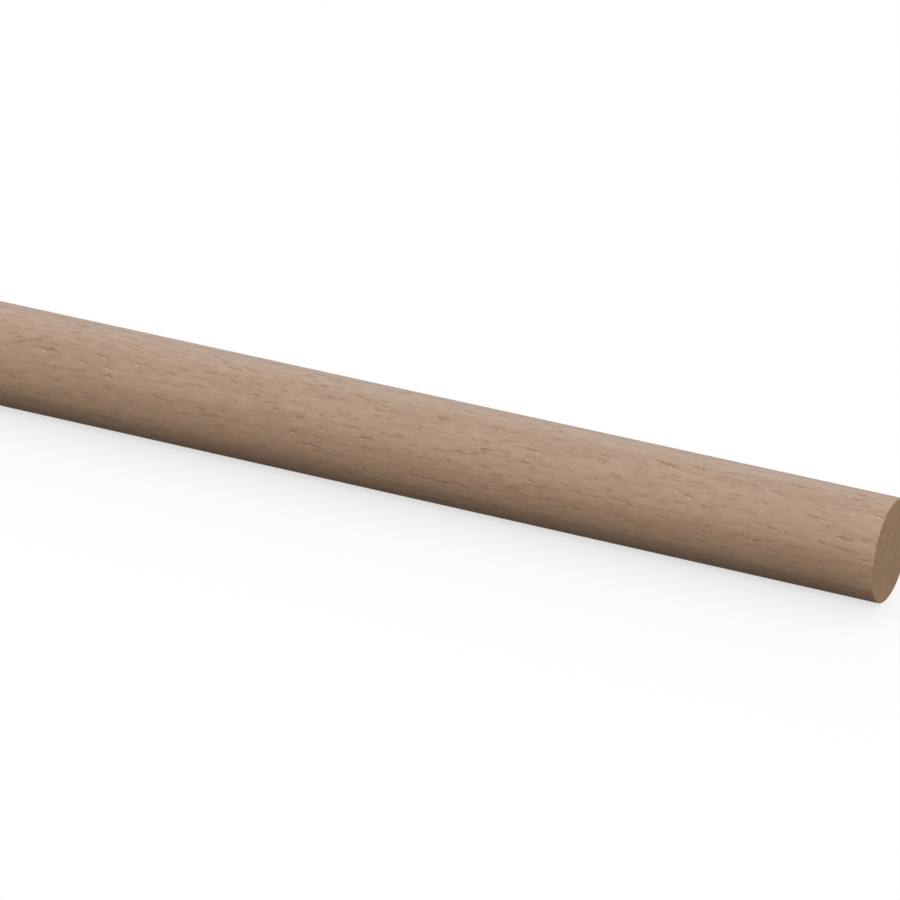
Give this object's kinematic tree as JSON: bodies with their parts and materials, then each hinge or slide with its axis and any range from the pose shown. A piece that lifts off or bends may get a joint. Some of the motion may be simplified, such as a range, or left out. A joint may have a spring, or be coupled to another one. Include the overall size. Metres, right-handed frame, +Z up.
{
  "type": "wooden dowel",
  "caption": "Smooth round beech dowel rod with square-sawn, lightly eased ends, raw stock for pegs, rails, spindles and joints.",
  "frame": {"origin": "on the floor below the middle of the rod's length, at the centre of the underside of its box", "axes": "+X along the rod's axis, towards the end that the picture shows; +Z up; +Y across the rod"},
  "size_m": [1, 0.025, 0.025],
  "materials": {
    "beech": "matte"
  },
  "bodies": {
    "root": {"dowel": "beech"}
  },
  "joints": []
}
